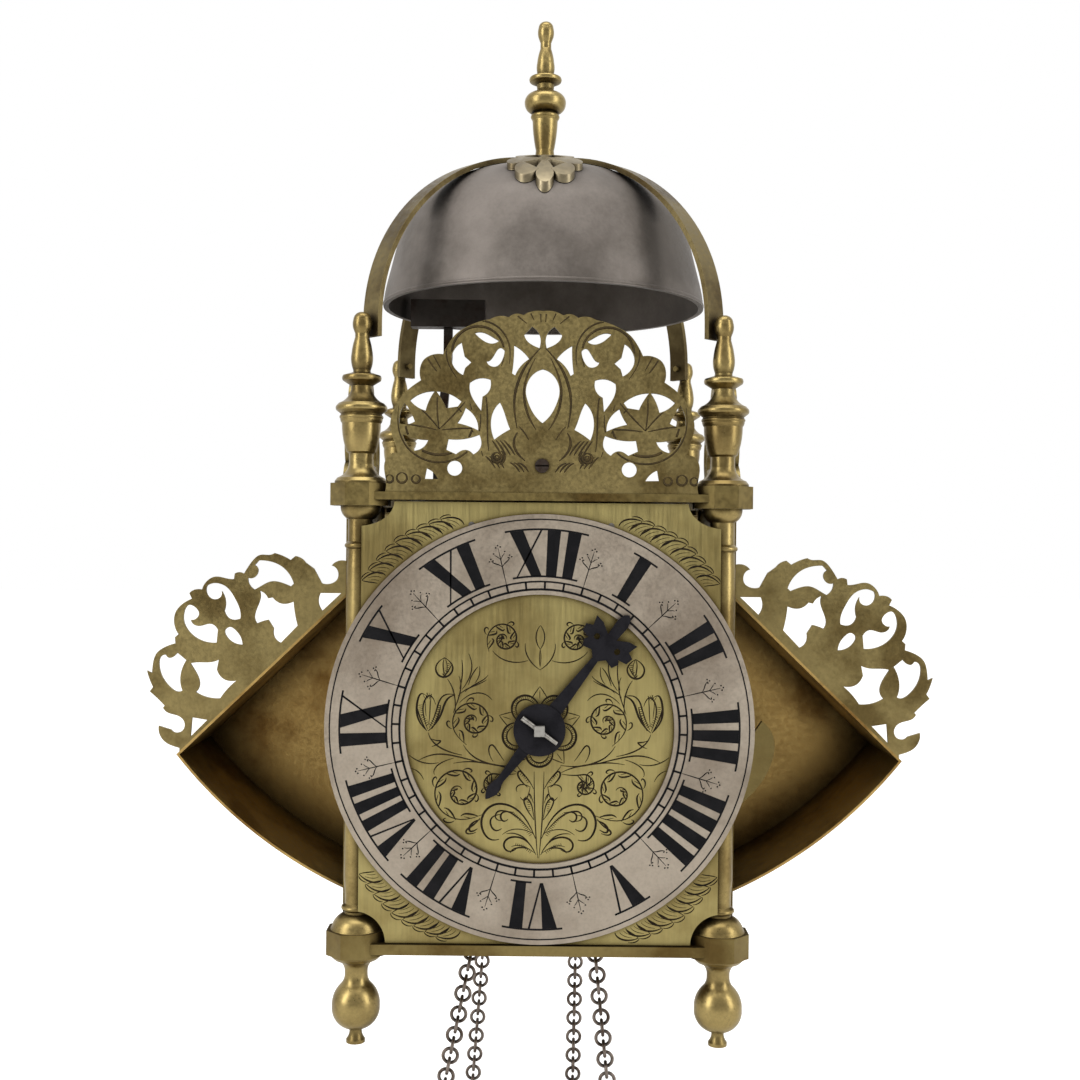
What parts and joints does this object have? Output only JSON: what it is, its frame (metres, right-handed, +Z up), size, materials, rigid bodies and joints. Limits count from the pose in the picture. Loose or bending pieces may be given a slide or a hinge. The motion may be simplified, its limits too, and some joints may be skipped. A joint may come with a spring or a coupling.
{
  "type": "lantern clock",
  "caption": "Hanging brass lantern clock with a bell under a strap, turned pillars, pierced frets, side wings for its anchor pendulum, one hand and chain drive.",
  "frame": {"origin": "centre of the iron hanging hoop's eye, halfway through its thickness, at the back of the top plate", "axes": "+X to the right of someone facing the dial, +Y away from them into the wall, +Z up"},
  "size_m": [0.3334, 0.1923, 0.503],
  "materials": {
    "cast_brass": "cast, aged and polished on the high spots",
    "sheet_brass": "planished sheet, aged",
    "dial_brass": "engraved, brushed",
    "silvered_brass": "silvered, engraved and waxed",
    "bell_metal": "cast bell metal, dull",
    "wheel_brass": "cut and crossed-out sheet",
    "dark_iron": "forged, blackened",
    "steel": "worn bright steel",
    "blued_steel": "blackened, filed",
    "chain_steel": "tarnished wire"
  },
  "bodies": {
    "frame": {"bottom_plate": "cast_brass", "top_plate": "cast_brass", "corner_pillars": "cast_brass", "ball_feet": "cast_brass", "corner_finials": "cast_brass", "front_bar": "dark_iron", "going_back_bar": "dark_iron", "strike_front_bar": "dark_iron", "back_bar": "dark_iron", "bar_wedges": "steel", "dial_plate": "dial_brass", "dial_latches": "steel", "chapter_ring": "silvered_brass", "verge_cocks": "sheet_brass", "hammer_spring": "steel", "front_fret": "cast_brass", "left_fret": "cast_brass", "right_fret": "cast_brass", "fret_screws": "dark_iron", "bell": "bell_metal", "bell_saddle": "cast_brass", "bell_strap": "sheet_brass", "bell_bolt": "steel", "top_finial": "cast_brass", "back_plate": "dark_iron", "wall_spurs": "dark_iron", "hanging_hoop": "dark_iron", "going_chain": "chain_steel", "strike_chain": "chain_steel", "chain_end_rings": "dark_iron"},
    "hour": {"hour_hand": "blued_steel", "hand_pin": "steel", "hour_wheel": "wheel_brass", "hour_arbor": "steel"},
    "going_great": {"going_great_wheel": "wheel_brass", "going_great_arbor": "steel"},
    "going_sprocket": {"going_chain_sprocket": "wheel_brass"},
    "second": {"going_second_wheel": "wheel_brass"},
    "contrate": {"contrate_wheel": "wheel_brass"},
    "crown": {"crown_wheel": "wheel_brass"},
    "pendulum": {"verge_staff": "steel", "pendulum_rod": "steel", "anchor_bob": "sheet_brass"},
    "strike_great": {"strike_great_wheel": "wheel_brass", "strike_great_arbor": "steel"},
    "strike_sprocket": {"strike_chain_sprocket": "wheel_brass"},
    "hoop": {"hoop_wheel": "wheel_brass"},
    "warning": {"warning_wheel": "wheel_brass"},
    "fly": {"fly": "sheet_brass"},
    "count": {"count_wheel": "wheel_brass"},
    "hammer": {"hammer": "dark_iron"},
    "lifting": {"lifting_detent": "steel"},
    "locking": {"locking_detent": "steel"},
    "left_door": {"left_side_door": "sheet_brass", "left_wing_box": "sheet_brass", "left_wing_fret": "cast_brass"},
    "right_door": {"right_side_door": "sheet_brass", "right_wing_box": "sheet_brass", "right_wing_fret": "cast_brass"}
  },
  "joints": [
    {"name": "left_door_hinge", "type": "hinge", "parent": "frame", "child": "left_door", "pos_m": [-0.0776, -0.036, -0.091], "axis": [0, 0, -1], "range_deg": [0, 95]},
    {"name": "right_door_hinge", "type": "hinge", "parent": "frame", "child": "right_door", "pos_m": [0.0776, -0.036, -0.091], "axis": [0, 0, 1], "range_deg": [0, 95]},
    {"name": "second_spin", "type": "hinge", "parent": "frame", "child": "second", "pos_m": [0.006, -0.13, -0.09386], "axis": [0, 1, 0], "continuous": true, "deforming": ["going_chain"]},
    {"name": "going_great_spin", "type": "hinge", "parent": "frame", "child": "going_great", "pos_m": [0, -0.13, -0.133], "axis": [0, 1, 0], "continuous": true, "deforming": ["going_chain"]},
    {"name": "going_sprocket_spin", "type": "hinge", "parent": "going_great", "child": "going_sprocket", "pos_m": [0, -0.13, -0.133], "axis": [0, 1, 0], "continuous": true, "deforming": ["going_chain"]},
    {"name": "contrate_spin", "type": "hinge", "parent": "frame", "child": "contrate", "pos_m": [0, -0.13, -0.0701], "axis": [0, 1, 0], "continuous": true},
    {"name": "crown_spin", "type": "hinge", "parent": "frame", "child": "crown", "pos_m": [0, -0.13, -0.042], "axis": [0, 0, 1], "continuous": true},
    {"name": "hour_spin", "type": "hinge", "parent": "frame", "child": "hour", "pos_m": [0, -0.163, -0.0926], "axis": [0, 1, 0], "continuous": true},
    {"name": "pendulum_swing", "type": "hinge", "parent": "frame", "child": "pendulum", "pos_m": [0, -0.093, -0.02], "axis": [0, 1, 0], "range_deg": [-10.2, 19.8]},
    {"name": "hoop_spin", "type": "hinge", "parent": "frame", "child": "hoop", "pos_m": [-0.006, -0.056, -0.09386], "axis": [0, 1, 0], "continuous": true, "deforming": ["strike_chain"]},
    {"name": "strike_great_spin", "type": "hinge", "parent": "frame", "child": "strike_great", "pos_m": [0, -0.056, -0.133], "axis": [0, 1, 0], "continuous": true, "deforming": ["strike_chain"]},
    {"name": "strike_sprocket_spin", "type": "hinge", "parent": "strike_great", "child": "strike_sprocket", "pos_m": [0, -0.056, -0.133], "axis": [0, 1, 0], "continuous": true, "deforming": ["strike_chain"]},
    {"name": "warning_spin", "type": "hinge", "parent": "frame", "child": "warning", "pos_m": [0.002, -0.056, -0.06807], "axis": [0, 1, 0], "continuous": true},
    {"name": "fly_spin", "type": "hinge", "parent": "frame", "child": "fly", "pos_m": [-0.003, -0.056, -0.04706], "axis": [0, 1, 0], "continuous": true},
    {"name": "count_spin", "type": "hinge", "parent": "frame", "child": "count", "pos_m": [0, -0.027, -0.1066], "axis": [0, 1, 0], "continuous": true},
    {"name": "hammer_swing", "type": "hinge", "parent": "frame", "child": "hammer", "pos_m": [-0.048, -0.056, -0.067], "axis": [0, 1, 0], "range_deg": [0, 10], "stiffness_Nm_per_rad": 0.2, "springref_deg": -5.73, "deforming": ["hammer_spring"]},
    {"name": "lifting_swing", "type": "hinge", "parent": "frame", "child": "lifting", "pos_m": [0.046, -0.118, -0.083], "axis": [0, 1, 0], "range_deg": [0, 8]},
    {"name": "locking_swing", "type": "hinge", "parent": "frame", "child": "locking", "pos_m": [0.046, -0.056, -0.053], "axis": [0, 1, 0], "range_deg": [0, 6]}
  ],
  "couplings": [
    {"joint": "going_great_spin", "follows": "second_spin", "ratio": -0.1},
    {"joint": "contrate_spin", "follows": "second_spin", "ratio": -6},
    {"joint": "crown_spin", "follows": "second_spin", "ratio": -31.714},
    {"joint": "hour_spin", "follows": "second_spin", "ratio": 0.0083333},
    {"joint": "strike_great_spin", "follows": "hoop_spin", "ratio": -0.1},
    {"joint": "warning_spin", "follows": "hoop_spin", "ratio": -9},
    {"joint": "fly_spin", "follows": "hoop_spin", "ratio": 72},
    {"joint": "count_spin", "follows": "hoop_spin", "ratio": 0.012821}
  ]
}
